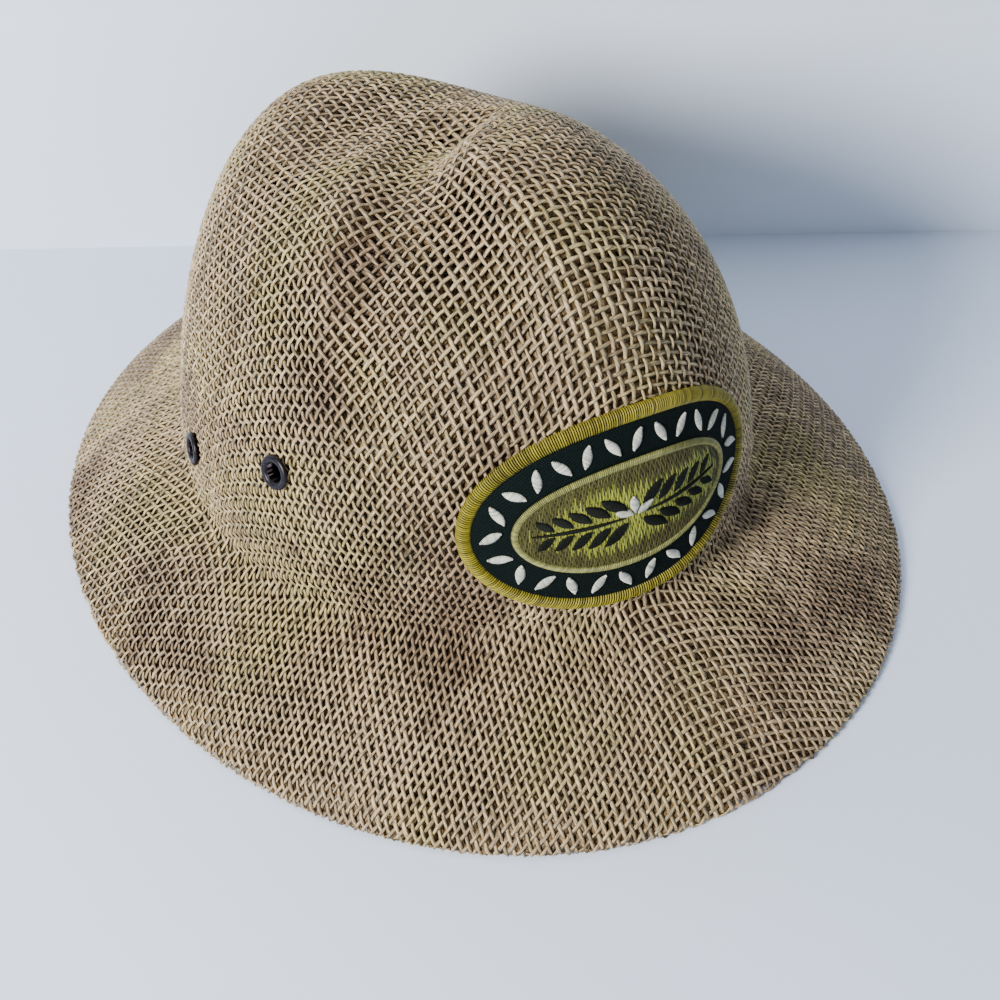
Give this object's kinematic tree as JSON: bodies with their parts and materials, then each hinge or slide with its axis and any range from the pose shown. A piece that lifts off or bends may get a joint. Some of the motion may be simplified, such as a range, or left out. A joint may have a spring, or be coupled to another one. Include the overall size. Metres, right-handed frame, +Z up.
{
  "type": "safari hat",
  "caption": "Woven straw safari hat with a pinched crown, a sloping oval brim, vent eyelets and an embroidered oval patch on the front.",
  "frame": {"origin": "middle of the brim's oval on the surface that the hat rests on", "axes": "+Z up through the crown, -Y towards the front of the hat, +X towards the wearer's left"},
  "size_m": [0.2586, 0.302, 0.1469],
  "materials": {
    "straw_cloth": "woven paper straw, matt with a slight sheen, stained in soft patches",
    "eyelet_metal": "dark burnished metal",
    "patch_twill": "dark green twill",
    "border_thread": "gold olive overlocked thread with a satin sheen",
    "pale_thread": "pale satin stitch",
    "field_thread": "olive and lime embroidery thread"
  },
  "bodies": {
    "root": {"woven_body": "straw_cloth", "vent_eyelet_right_front": "eyelet_metal", "vent_eyelet_right_back": "eyelet_metal", "vent_eyelet_left_front": "eyelet_metal", "vent_eyelet_left_back": "eyelet_metal", "patch_ground": "patch_twill", "patch_border": "border_thread", "patch_ring": "pale_thread", "patch_field": "field_thread"}
  },
  "joints": []
}
